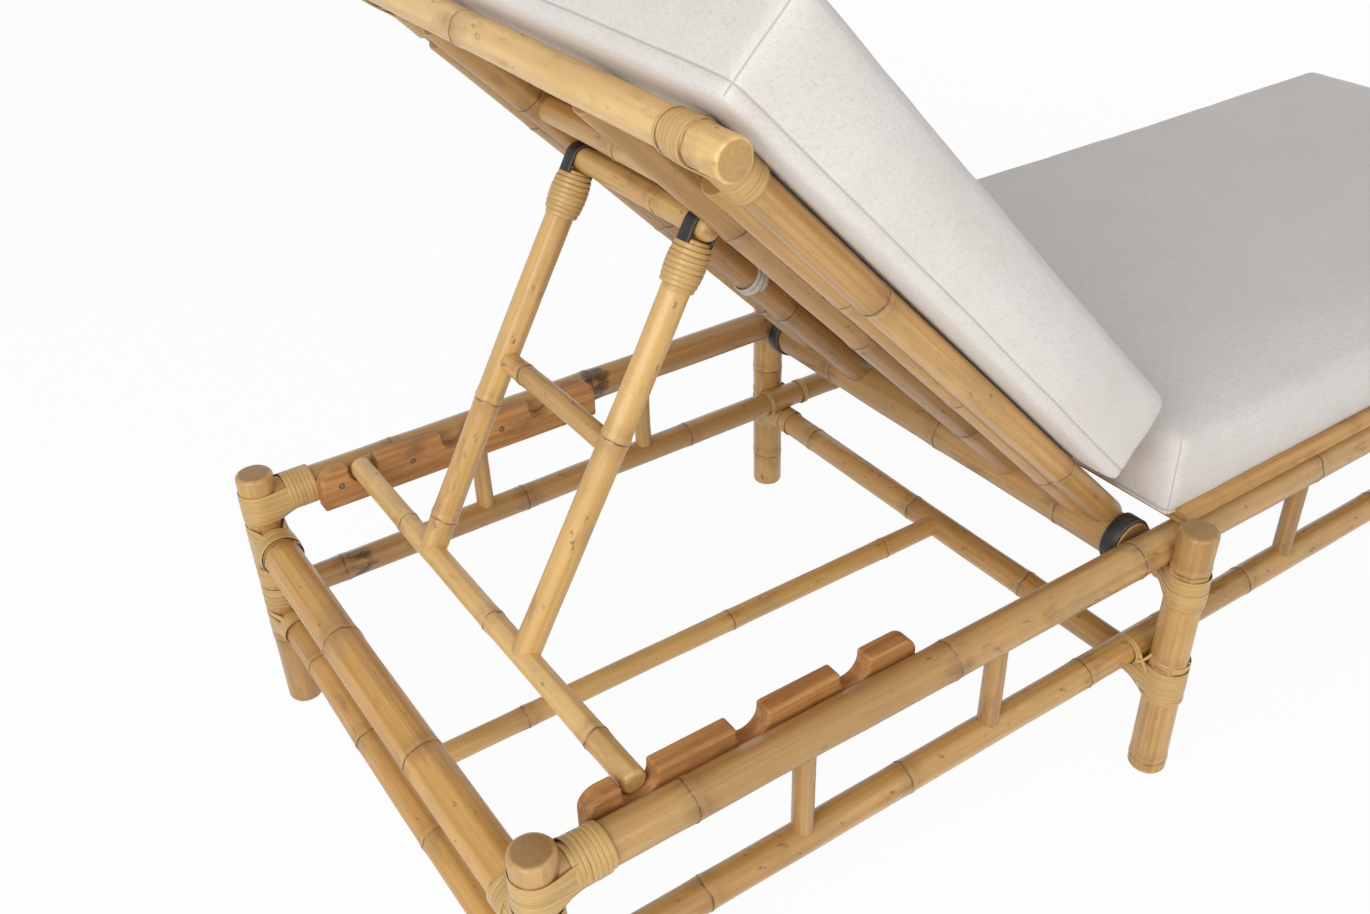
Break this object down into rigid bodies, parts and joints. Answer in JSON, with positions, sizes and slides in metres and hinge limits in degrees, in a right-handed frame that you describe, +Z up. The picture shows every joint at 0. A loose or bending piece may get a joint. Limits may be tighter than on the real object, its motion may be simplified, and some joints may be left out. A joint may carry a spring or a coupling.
{
  "type": "sun lounger",
  "caption": "Bamboo pole sun lounger with a hinged backrest, a prop frame that stands in notched racks, slats, peel-bound joints and loose cushions",
  "frame": {"origin": "on the floor, below the middle of the lounger's length and width", "axes": "+X from the head end to the foot end, +Y to the left of someone lying on it, +Z up"},
  "size_m": [1.9589, 0.7596, 0.9226],
  "materials": {
    "bamboo": "satin varnish",
    "rattan_peel": "satin",
    "rack_wood": "oiled",
    "leather": "matte",
    "cushion_cloth": "woven"
  },
  "bodies": {
    "base": {"head_leg_left": "bamboo", "head_leg_right": "bamboo", "mid_leg_left": "bamboo", "mid_leg_right": "bamboo", "foot_leg_left": "bamboo", "foot_leg_right": "bamboo", "upper_rail_left": "bamboo", "upper_rail_right": "bamboo", "lower_rail_left": "bamboo", "lower_rail_right": "bamboo", "head_upper_bar": "bamboo", "head_lower_bar": "bamboo", "foot_upper_bar": "bamboo", "foot_lower_bar": "bamboo", "mid_upper_bar": "bamboo", "mid_lower_bar": "bamboo", "centre_stretcher": "bamboo", "spindles_left": "bamboo", "spindles_right": "bamboo", "rack_left": "rack_wood", "rack_right": "rack_wood", "seat_bearer": "bamboo", "seat_slats": "bamboo", "cover_strip_left": "bamboo", "cover_strip_right": "bamboo", "hinge_strap_left": "leather", "hinge_strap_right": "leather", "base_lashings": "rattan_peel", "seat_cushion": "cushion_cloth"},
    "backrest": {"hinge_bar": "bamboo", "top_bar": "bamboo", "side_pole_left": "bamboo", "side_pole_right": "bamboo", "ledger_left": "bamboo", "ledger_right": "bamboo", "inner_pole_left": "bamboo", "inner_pole_right": "bamboo", "upper_rung": "bamboo", "pivot_rung": "bamboo", "back_slats": "bamboo", "backrest_lashings": "rattan_peel", "back_cushion": "cushion_cloth"},
    "prop": {"prop_leg_left": "bamboo", "prop_leg_right": "bamboo", "prop_bar": "bamboo", "prop_rung": "bamboo", "prop_strap_left": "leather", "prop_strap_right": "leather", "prop_lashings": "rattan_peel"}
  },
  "joints": [
    {"name": "backrest_hinge", "type": "hinge", "parent": "base", "child": "backrest", "pos_m": [-0.2355, 0, 0.283], "axis": [0, 1, 0], "range_deg": [0, 25]},
    {"name": "prop_hinge", "type": "hinge", "parent": "backrest", "child": "prop", "pos_m": [-0.63726, 0, 0.68038], "axis": [0, 1, 0], "range_deg": [-9, 0]}
  ],
  "couplings": [
    {"joint": "prop_hinge", "follows": "backrest_hinge", "ratio": -0.35}
  ]
}
